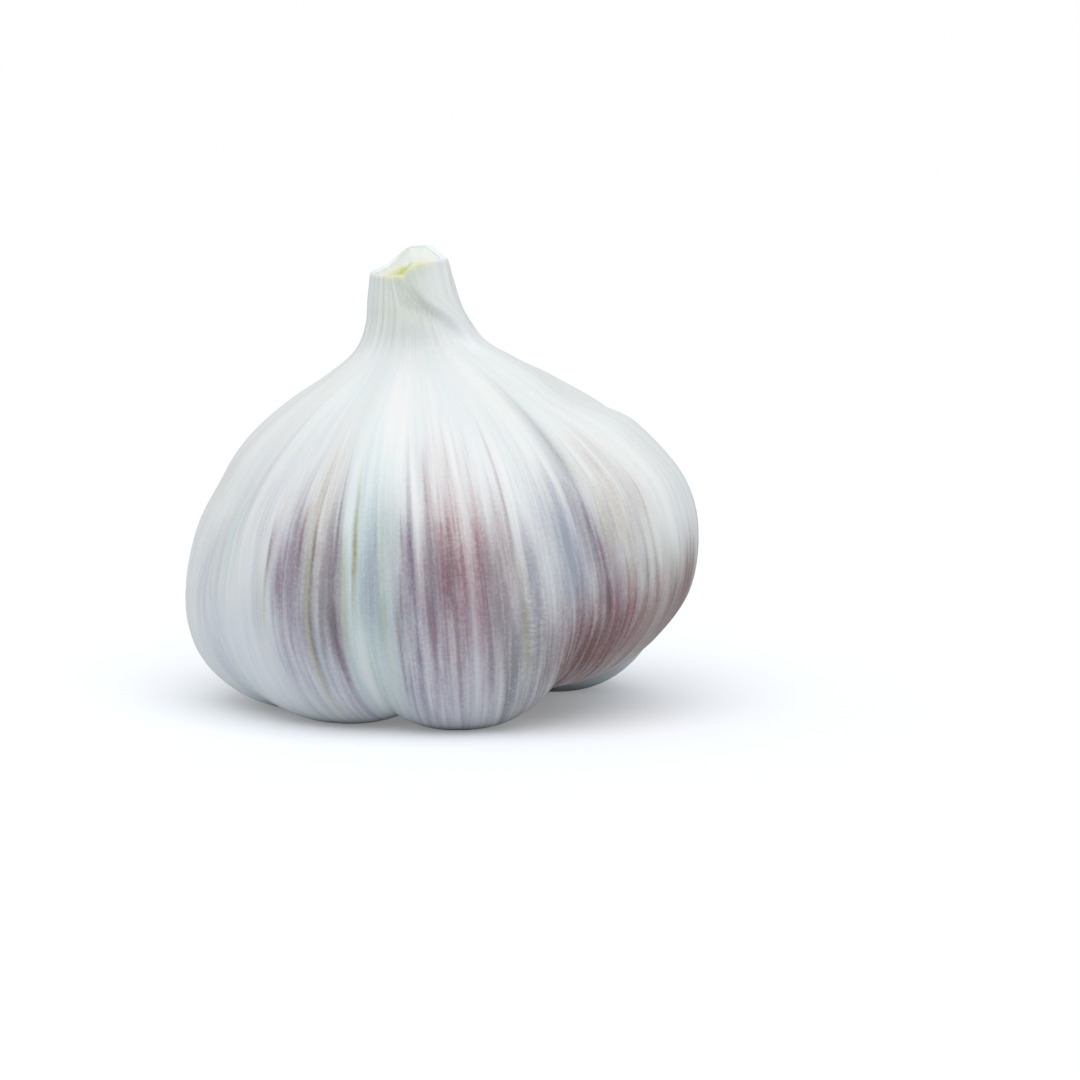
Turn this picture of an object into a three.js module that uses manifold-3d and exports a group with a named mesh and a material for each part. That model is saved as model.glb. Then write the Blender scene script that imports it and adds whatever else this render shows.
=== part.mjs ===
// A garlic bulb in its papery wrapper, standing on its cloves, with its stalk cut short.
// Millimetres, +Z up, the surface at z = 0. The side with the fold of the neck faces -Y.

import * as THREE from 'three';
import Module from 'manifold-3d';

const wasm = await Module();
wasm.setup();

// Driving dimensions. The bulb is described upright on its own axis, then leaned and stood on its cloves.
const LEAN_DEG = 5;                  // the whole bulb leans to -X
const DEPTH = 0.96;                  // front to back, as a share of side to side
const PRESSED = 0.3;                 // the lowest points of the cloves are this much worn flat

// Skin in the valleys between the cloves: radius and height, from the rim of the root hollow up to the cut
const OUTLINE = [
  [7.6, 2.5], [9.6, 2.1], [13.8, 1.2], [18.6, 1.0], [22.9, 3.1], [25.8, 6.8],
  [27.2, 11.2], [27.5, 16.0], [26.5, 21.1], [24.1, 26.0], [20.4, 30.3], [15.7, 33.9],
  [10.7, 36.9], [7.2, 39.6], [5.6, 43.0], [4.8, 47.6], [4.4, 50.6],
];

// One clove to the right of each valley. Angles are degrees from the front, positive to +X.
// valley: its angle at the belly, foot: its angle under the bulb, bulge and drop: how far the clove
// stands out sideways and downwards, belly: the height where it stands out most, above and below:
// the reach of the bulge over and under that height.
const CLOVES = [
  { valley: -112, foot: -118, bulge: 3.6, belly: 5.0, above: 12.0, below: 30, drop: -1.0 },
  { valley: -64, foot: -62, bulge: 2.0, belly: 12.0, above: 14.0, below: 30, drop: 1.3 },
  { valley: -10, foot: -16, bulge: 2.2, belly: 13.0, above: 16.0, below: 30, drop: 2.5 },
  { valley: 38, foot: 35, bulge: 3.7, belly: 20.0, above: 8.6, below: 16, drop: 0.4 },
  { valley: 105, foot: 100, bulge: 2.0, belly: 16.0, above: 14.0, below: 30, drop: 3.7 },
  { valley: 150, foot: 150, bulge: 2.2, belly: 15.0, above: 14.0, below: 30, drop: 2.4 },
  { valley: 201, foot: 200, bulge: 2.2, belly: 14.0, above: 14.0, below: 30, drop: 1.2 },
];
const CLOVE_ROUND = 2.3;             // how square a clove's back is across its width
const CLOVE_EDGE = { low: 0.8, high: 1.2 };   // how it rises out of the valley: under 1 is a crease
const BRIDGED = 0.62;                // the leaves stretch over the valleys at this share of the bulge
const FOOT_TOP = 14;                 // under this height the valleys turn towards their feet

// The outer leaf laps over itself at the front of the neck and fans out to the right
const FOLD = { top: 52, mid: 40, low: 35, topAngle: -4, midAngle: 29, lowAngle: 49 };
const FOLD_LIP = 0.75;
const FOLD_HOLLOW = 0.55;

// Height of the cut round the neck, against the cut's highest point: angle, height
const NECK_FROM = 42;                // the slant of the cut is taken up above this height
const CUT = [
  [-180, -0.1], [-154, -1.3], [-133, -2.2], [-90, -2.1], [-40, -2.6], [-12, -2.7], [-2, -1.4],
  [40, -1.4], [92, -2.4], [120, -1.5], [146, -0.2], [180, -0.1],
];
const CUT_MIDDLE = -1.5;             // the middle of the cut face, against the same point
const NECK_DEPTH = 0.88;             // the neck is a little flat, front to back

const GAP = 0.3;
const WALL = 0.75;                   // outer leaves where they are cut
const CUP = 2.4;                     // depth of the cup that holds the inner stalk
const CORE_SUNK = 0.3;               // the inner stalk ends this far under the cut
const HOLLOW = { radius: 7.6, roof: 4.6 };

const PLATE = { radius: 7.2, rim: 2.3, middle: 1.5 };
const ROOT_RINGS = [[1.9, 6], [4.0, 13], [6.0, 20]];
const ROOT = { base: 0.55, tip: 0.36, shortest: 2.0, longest: 3.3, sides: 5, splay: 0.62 };

const MERIDIANS_A_CLOVE = 13;
const ROWS = [[0, 0.24, 14], [0.24, 0.74, 16], [0.74, 1, 13]];   // from, to, rows: shares of the outline

const COLOURS = { skin: 0xe2e4e4, core: 0xeef0e4, root: 0xb8a079 };

const radians = THREE.MathUtils.degToRad;

function smooth(from, to, x) {
  const t = THREE.MathUtils.clamp((x - from) / (to - from), 0, 1);
  return t * t * (3 - 2 * t);
}

function wrapAngle(degrees) {
  return THREE.MathUtils.euclideanModulo(degrees + 180, 360) - 180;
}

const outline = new THREE.CatmullRomCurve3(
  OUTLINE.map(([radius, height]) => new THREE.Vector3(radius, 0, height)), false, 'centripetal',
);
outline.arcLengthDivisions = 2000;

// Where clove k begins and how wide it is at a height, in degrees
function cloveSpan(k, height) {
  const low = smooth(FOOT_TOP, 0, height);
  const here = CLOVES[k];
  const next = CLOVES[(k + 1) % CLOVES.length];
  const start = THREE.MathUtils.lerp(here.valley, here.foot, low);
  const end = THREE.MathUtils.lerp(next.valley, next.foot, low);
  return { start, width: THREE.MathUtils.euclideanModulo(end - start, 360) };
}

// How far the middle of clove k stands out of the outline
function cloveHeight(k, height) {
  const clove = CLOVES[k];
  const low = smooth(FOOT_TOP, 0, height);
  const reach = height > clove.belly ? clove.above : clove.below;
  const along = Math.exp(-(((height - clove.belly) / reach) ** 2));
  return clove.bulge * along + clove.drop * low * low;
}

// How far the skin stands out at a share of the clove's width
function cloveRelief(k, share, radius, height) {
  const count = CLOVES.length;
  const full = cloveHeight(k, height);
  const before = BRIDGED * Math.min(full, cloveHeight((k + count - 1) % count, height));
  const after = BRIDGED * Math.min(full, cloveHeight((k + 1) % count, height));
  const valley = THREE.MathUtils.lerp(before, after, smooth(0, 1, share));
  const edge = THREE.MathUtils.lerp(CLOVE_EDGE.high, CLOVE_EDGE.low, smooth(FOOT_TOP, 0, height));
  const across = (1 - Math.abs(2 * share - 1) ** CLOVE_ROUND) ** edge;
  return (valley + across * (full - valley)) * smooth(HOLLOW.radius, 14, radius);
}

function foldAngle(height) {
  const upper = (FOLD.midAngle - FOLD.topAngle) * smooth(FOLD.top, FOLD.mid, height);
  const lower = (FOLD.lowAngle - FOLD.midAngle) * smooth(FOLD.mid + 1, FOLD.low, height);
  return FOLD.topAngle + upper + lower;
}

function foldRelief(angle, height) {
  const past = wrapAngle(angle - foldAngle(height));
  const strength = smooth(FOLD.low, FOLD.low + 6, height) * (1 - 0.35 * smooth(46, FOLD.top, height));
  const lip = smooth(-4, 5, past) * Math.exp(-Math.max(past, 0) / 38);
  const beside = Math.exp(-(((past + 16) / 15) ** 2)) * smooth(36, 43, height) * smooth(53, 45, height);
  return strength * (FOLD_LIP * lip - FOLD_HOLLOW * beside);
}

// Height of the cut at an angle, 0 at its highest point
function cutHeight(angle) {
  const turn = wrapAngle(angle);
  const next = CUT.findIndex(([at]) => at > turn);
  const [from, low] = CUT[next - 1];
  const [to, high] = CUT[next];
  return THREE.MathUtils.lerp(low, high, smooth(from, to, turn));
}

// A point of the skin on the upright bulb: clove, share of its width, share of the outline's length
function skinPoint(k, share, along) {
  const at = outline.getPointAt(along);
  const way = outline.getTangentAt(along);
  const span = cloveSpan(k, at.z);
  const angle = span.start + share * span.width;
  const out = cloveRelief(k, share, at.x, at.z) + foldRelief(angle, at.z);
  const radius = at.x + out * way.z;
  let height = at.z - out * way.x;
  if (height > NECK_FROM) {
    const top = OUTLINE.at(-1)[1];
    height += (height - NECK_FROM) / (top - NECK_FROM) * cutHeight(angle);
  }
  const flat = THREE.MathUtils.lerp(1, NECK_DEPTH, smooth(40, 50, at.z));
  return new THREE.Vector3(
    radius * Math.sin(radians(angle)), -radius * Math.cos(radians(angle)) * flat * DEPTH, height,
  );
}

// Closed skin over rings of points. Each ring runs anticlockwise seen from the end point.
function loft(startPoint, rings, endPoint) {
  const count = rings[0].length;
  const points = [startPoint, ...rings.flat(), endPoint];
  const at = (ring, j) => 1 + ring * count + (j % count);
  const index = [];
  for (let j = 0; j < count; j++) {
    index.push(0, at(0, j + 1), at(0, j));
    for (let i = 0; i < rings.length - 1; i++) {
      index.push(at(i, j), at(i, j + 1), at(i + 1, j + 1));
      index.push(at(i, j), at(i + 1, j + 1), at(i + 1, j));
    }
    index.push(at(rings.length - 1, j), at(rings.length - 1, j + 1), points.length - 1);
  }
  const geometry = new THREE.BufferGeometry().setFromPoints(points);
  geometry.setIndex(index);
  return geometry;
}

function ringOfSkin(along) {
  const ring = [];
  for (let k = 0; k < CLOVES.length; k++) {
    for (let j = 0; j < MERIDIANS_A_CLOVE; j++) {
      ring.push(skinPoint(k, j / MERIDIANS_A_CLOVE, along));
    }
  }
  return ring;
}

// The ring moved towards its own middle, and to other heights
function inset(ring, distance, drop) {
  return ring.map((point) => {
    const radius = Math.hypot(point.x, point.y);
    const share = (radius - distance) / radius;
    return new THREE.Vector3(point.x * share, point.y * share, point.z - drop);
  });
}

const rows = ROWS.flatMap(([from, to, count]) => (
  Array.from({ length: count }, (_, i) => THREE.MathUtils.lerp(from, to, i / count))
));
const skinRings = [...rows, 1].map(ringOfSkin);
const rim = skinRings.at(-1);
const cutTop = OUTLINE.at(-1)[1];

function wrappedBulb() {
  const mouth = skinRings[0];
  const roof = mouth.map((point) => new THREE.Vector3(point.x, point.y, HOLLOW.roof));
  const roofMiddle = new THREE.Vector3(0, 0, HOLLOW.roof);
  const cupMiddle = new THREE.Vector3(0, 0, cutTop + CUT_MIDDLE - CUP);
  return loft(roofMiddle, [roof, ...skinRings, inset(rim, WALL, 0), inset(rim, WALL, CUP)], cupMiddle);
}

// Inner stalk: cut with the leaves round it, its face dished towards the front
function neckCore() {
  const side = WALL + GAP;
  const floor = inset(rim, side, CUP - GAP);
  const edge = inset(rim, side, CORE_SUNK);
  const middle = cutTop + CUT_MIDDLE - CORE_SUNK;
  const inner = edge.map((point) => new THREE.Vector3(
    point.x * 0.55, point.y * 0.55, THREE.MathUtils.lerp(middle, point.z, 0.42),
  ));
  const low = new THREE.Vector3(0, 0, cutTop + CUT_MIDDLE - CUP + GAP);
  return loft(low, [floor, edge, inner], new THREE.Vector3(0, 0, middle));
}

function solidOf(geometry) {
  const mesh = new wasm.Mesh({
    numProp: 3,
    vertProperties: new Float32Array(geometry.attributes.position.array),
    triVerts: new Uint32Array(geometry.index.array),
  });
  return new wasm.Manifold(mesh);
}

function geometryOf(solid) {
  const { vertProperties, triVerts } = solid.getMesh();
  const geometry = new THREE.BufferGeometry();
  geometry.setAttribute('position', new THREE.BufferAttribute(vertProperties, 3));
  geometry.setIndex(new THREE.BufferAttribute(triVerts, 1));
  return geometry;
}

// Always the same row of numbers from 0 to 1
function dice(seed) {
  let state = seed;
  return () => {
    state = (state * 1664525 + 1013904223) % 4294967296;
    return state / 4294967296;
  };
}

function disc(radius, height, sides) {
  return Array.from({ length: sides }, (_, j) => {
    const turn = 2 * Math.PI * j / sides;
    return new THREE.Vector3(radius * Math.cos(turn), radius * Math.sin(turn) * DEPTH, height);
  });
}

function plateGeometry() {
  const sides = 40;
  const top = HOLLOW.roof - GAP;
  const rings = [
    disc(PLATE.radius * 0.6, PLATE.middle + 0.2, sides),
    disc(PLATE.radius - 0.5, PLATE.rim - 0.2, sides),
    disc(PLATE.radius, PLATE.rim + 0.3, sides),
    disc(PLATE.radius, top, sides),
  ];
  return loft(new THREE.Vector3(0, 0, PLATE.middle), rings, new THREE.Vector3(0, 0, top));
}

// A root cut short: a bent, tapering stub that starts inside the plate
function rootGeometry(radius, turn, random) {
  const out = new THREE.Vector3(Math.cos(turn), Math.sin(turn) * DEPTH, 0);
  const side = new THREE.Vector3(-out.y, out.x, 0);
  const length = THREE.MathUtils.lerp(ROOT.shortest, ROOT.longest, random());
  const splay = ROOT.splay * (radius / PLATE.radius) + 0.25 * (random() - 0.5);
  const twist = 0.5 * (random() - 0.5);
  const start = out.clone().multiplyScalar(radius).setZ(PLATE.middle + 1.2);
  const bend = start.clone().addScaledVector(out, splay * 0.4).setZ(PLATE.middle - length * 0.35);
  const end = start.clone().addScaledVector(out, splay * length).addScaledVector(side, twist * length);
  end.z = PLATE.middle - length;
  const path = new THREE.QuadraticBezierCurve3(start, bend, end);
  const rings = [0, 0.5, 1].map((along) => {
    const way = path.getTangentAt(along);
    const u = new THREE.Vector3().crossVectors(side, way).normalize();
    const v = new THREE.Vector3().crossVectors(way, u);
    const thick = THREE.MathUtils.lerp(ROOT.base, ROOT.tip, along);
    return Array.from({ length: ROOT.sides }, (_, j) => {
      const angle = 2 * Math.PI * j / ROOT.sides;
      return path.getPointAt(along)
        .addScaledVector(u, thick * Math.cos(angle))
        .addScaledVector(v, thick * Math.sin(angle));
    });
  });
  return loft(start, rings, path.getPointAt(1));
}

function rootPlate() {
  const random = dice(7);
  const stubs = ROOT_RINGS.flatMap(([radius, count]) => (
    Array.from({ length: count }, (_, i) => {
      const turn = 2 * Math.PI * (i + 0.5 * (random() - 0.5)) / count;
      return rootGeometry(radius + 0.5 * (random() - 0.5), turn, random);
    })
  ));
  return geometryOf(wasm.Manifold.union([plateGeometry(), ...stubs].map(solidOf)));
}

function piece(name, geometry, colour, roughness) {
  geometry.computeVertexNormals();
  const material = new THREE.MeshStandardMaterial({ color: colour, roughness, metalness: 0 });
  const mesh = new THREE.Mesh(geometry, material);
  mesh.name = name;
  return mesh;
}

// Upright pieces are leaned, lowered onto their cloves and centred over the origin
const bulbGeometry = wrappedBulb();
const leaning = new THREE.Matrix4().makeRotationY(-radians(LEAN_DEG));
bulbGeometry.applyMatrix4(leaning);
bulbGeometry.computeBoundingBox();
const middle = bulbGeometry.boundingBox.getCenter(new THREE.Vector3());
const stand = new THREE.Vector3(-middle.x, -middle.y, -bulbGeometry.boundingBox.min.z - PRESSED);
bulbGeometry.translate(stand.x, stand.y, stand.z);

const heights = bulbGeometry.attributes.position;
for (let i = 0; i < heights.count; i++) {
  heights.setZ(i, Math.max(heights.getZ(i), 0));
}

const leaned = new THREE.Group();
leaned.rotation.y = -radians(LEAN_DEG);
leaned.position.copy(stand);
leaned.add(piece('neck_core', neckCore(), COLOURS.core, 0.6));
leaned.add(piece('root_plate', rootPlate(), COLOURS.root, 0.9));

const garlic = new THREE.Group();
garlic.add(piece('wrapped_bulb', bulbGeometry, COLOURS.skin, 0.45));
garlic.add(leaned);

export default garlic;
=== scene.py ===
"""A garlic bulb in its papery skin: skin, cut stalk, root plate and stage, made round the frame."""

import math

import bpy
import numpy as np
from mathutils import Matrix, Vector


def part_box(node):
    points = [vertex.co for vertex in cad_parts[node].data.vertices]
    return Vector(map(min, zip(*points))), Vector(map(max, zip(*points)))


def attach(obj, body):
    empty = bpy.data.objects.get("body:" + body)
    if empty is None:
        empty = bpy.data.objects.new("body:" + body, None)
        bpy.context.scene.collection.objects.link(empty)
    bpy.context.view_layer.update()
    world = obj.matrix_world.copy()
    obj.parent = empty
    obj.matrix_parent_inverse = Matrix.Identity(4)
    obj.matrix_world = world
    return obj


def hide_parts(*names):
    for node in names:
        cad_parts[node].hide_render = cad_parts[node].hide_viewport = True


bl_info = {
    "name": "Garlic bulb",
    "version": (1, 0, 0),
    "blender": (4, 5, 0),
    "location": "3D View > Sidebar > Garlic",
    "description": "Makes a garlic bulb with streaked papery skin, a cut stalk and trimmed roots",
    "category": "Add Mesh",
}

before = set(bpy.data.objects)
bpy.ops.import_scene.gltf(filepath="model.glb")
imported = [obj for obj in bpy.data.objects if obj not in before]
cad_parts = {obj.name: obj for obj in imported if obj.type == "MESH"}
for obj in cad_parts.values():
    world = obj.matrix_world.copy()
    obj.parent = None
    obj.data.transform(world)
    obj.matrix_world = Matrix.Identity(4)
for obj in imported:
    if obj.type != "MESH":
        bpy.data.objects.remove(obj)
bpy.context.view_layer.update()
MM = 0.001

# The form of the bulb, upright on its own axis, in millimetres and in degrees from the front,
# positive to +X. It is the form of the frame's solids, which this file repeats. Only the edge of
# the cut, the path of the neck's fold and the small relief of the leaf are finer here.
LEAN_DEG = 5.0
DEPTH = 0.96
PRESSED = 0.3
OUTLINE = (
    (7.6, 2.5), (9.6, 2.1), (13.8, 1.2), (18.6, 1.0), (22.9, 3.1), (25.8, 6.8),
    (27.2, 11.2), (27.5, 16.0), (26.5, 21.1), (24.1, 26.0), (20.4, 30.3), (15.7, 33.9),
    (10.7, 36.9), (7.2, 39.6), (5.6, 43.0), (4.8, 47.6), (4.4, 50.6),
)
# Each clove: angle of the valley before it at the belly and at the foot, bulge, height of that,
# its reach above and below, drop at the foot
CLOVES = (
    (-112, -118, 3.6, 5.0, 12.0, 30, -1.0),
    (-64, -62, 2.0, 12.0, 14.0, 30, 1.3),
    (-10, -16, 2.2, 13.0, 16.0, 30, 2.5),
    (38, 35, 3.7, 20.0, 8.6, 16, 0.4),
    (105, 100, 2.0, 16.0, 14.0, 30, 3.7),
    (150, 150, 2.2, 15.0, 14.0, 30, 2.4),
    (201, 200, 2.2, 14.0, 14.0, 30, 1.2),
)
# How round a clove is across, how steep its edges are at the foot and above, how much of its rise the
# wrapper keeps where it bridges a valley, and the height up to which the form of the foot reaches
CLOVE_ROUND = 2.3
CLOVE_EDGE_LOW, CLOVE_EDGE_HIGH = 0.8, 1.2
BRIDGED = 0.62
FOOT_TOP = 14
# Where the outer leaf laps over itself on the neck: height, angle
FOLD = (
    (34, 58), (40, 54), (41.3, 50), (42.7, 38), (44.4, 18), (46.2, 4), (49.4, -6), (52, -8),
)
FOLD_FOOT = 35
FOLD_LIP, FOLD_HOLLOW = 0.55, 0.42
NECK_FROM = 42
# The cut round the neck: angle, height from its highest side
CUT = (
    (-180, 0.15), (-166, -0.4), (-154, -1.05), (-133, -1.9), (-100, -2.35), (-60, -2.6),
    (-30, -2.85), (-14, -2.85), (-10, -3.0), (-3, -2.1), (8, -1.55), (45, -1.4), (70, -1.55),
    (95, -1.75), (111, -1.45), (129, -0.75), (150, 0.08), (180, 0.15),
)
CUT_SOFT_DEG = 3
# Small hollows and swellings of the wrapper: angle, height, half width in degrees, half height, rise
DENTS = (
    (-84, 25.2, 26, 3.0, -0.42), (78, 22.5, 24, 4.0, -0.42), (75, 32.2, 28, 2.2, -0.75),
    (78, 28.0, 24, 2.2, 0.32), (76, 9.6, 24, 3.4, 0.36), (76, 3.2, 24, 3.0, -0.28),
    (75, 36.6, 26, 1.8, 0.32),
)
# Patches of the leaf, in the same way but with a strength last: finely crinkled ones low in front and
# at the neck's foot, a plain one at the lower right, and painted grey shade at the neck's foot
CRINKLES = ((22.5, 9.5, 3.4, 5, 1.0), (25, 40, 30, 2.5, 0.12))
PLAIN_SPOT = (74, 7, 16, 7, 0.6)
NECK_SHADE = (-2, 41, 34, 3.6, 0.30)
# A ridge and a slit down the front: angle, half width, rise, heights where it starts and where it ends
LINES = ((9.6, 1.1, 0.08, (2, 6), (27, 18)), (-16.3, 0.6, -0.14, (9, 11), (26, 24)))
# Creases beside the fold: degrees past it, half width, rise
CREASES = ((4, 3, 0.09), (-5, 4, -0.10), (20, 3, 0.09), (34, 3, 0.08))
# The neck swells out a little at the left: angle, half width in degrees, rise
SWELL = (-75, 45, 0.45)
# How many of each wave go round the bulb, and the seed that places them
RIB_WAVES, RIB_SEED = (61, 73, 83, 97, 109, 127), 3
PLEAT_WAVES, PLEAT_SEED = (11, 17, 23, 29, 34), 5
DENT_WAVES, DENT_SEED = (5, 7, 9, 12, 14), 9
# The ragged ends of the streaks: reach in mm, waves, seed, and how far apart two streaks read them
RAGGED = ((1.3, (67, 91, 131), 21), (0.8, (33, 47), 22))
RAGGED_STEP = 7
# How fast a streak fades to its sides, and how soft its ends are, as a share of its length and in mm
STREAK_FADE = 0.9
STREAK_SOFT_SHARE, STREAK_SOFT = 0.28, 1.3
# How much closer together the columns of the skin stand in front than behind
FRONT_DENSER = 0.35
CUT_TOP = OUTLINE[-1][1]
CUT_MIDDLE = -1.5
NECK_DEPTH = 0.88
WALL = 0.75
CUP = 2.4
HOLLOW_RADIUS, HOLLOW_ROOF = 7.6, 4.6
STALK_GAP, STALK_SIDES, STALK_RINGS = 0.01, 160, 24
PLATE_RADIUS, PLATE_RIM, PLATE_MIDDLE = 7.2, 2.3, 1.5
PLATE_SIDES, PLATE_RINGS, PLATE_RIM_RING = 96, 28, 20
ROOT_RINGS = ((1.9, 6), (4.0, 13), (6.0, 20))
ROOT_SHORTEST, ROOT_LONGEST, ROOT_SPLAY = 2.0, 3.3, 0.62
ROOT_SIDES, ROOT_STEPS = 10, 7
ROOT_SEED = 7

# The photo's frame, in its own pixels, and what the camera is set by
PHOTO_SIDE = 1080
BULB_MIDDLE_PX, SURFACE_PX = 441.0, 703.0
MM_PER_PX = 60.0 / 512.0
CAMERA_ELEVATION_DEG = 7.0
CAMERA_DISTANCE = 400 * MM
AIM_HEIGHT = 24.0
SENSOR = 36.0
KEY_FROM = (0.03, -0.50, 1.0)
FLOOR_SIDE = 8

# Sockets of a Mix node: two numbers, two colours, and the colour that comes out
NUMBER_A, NUMBER_B = 2, 3
COLOUR_A, COLOUR_B, COLOUR_OUT = 6, 7, 2
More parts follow.
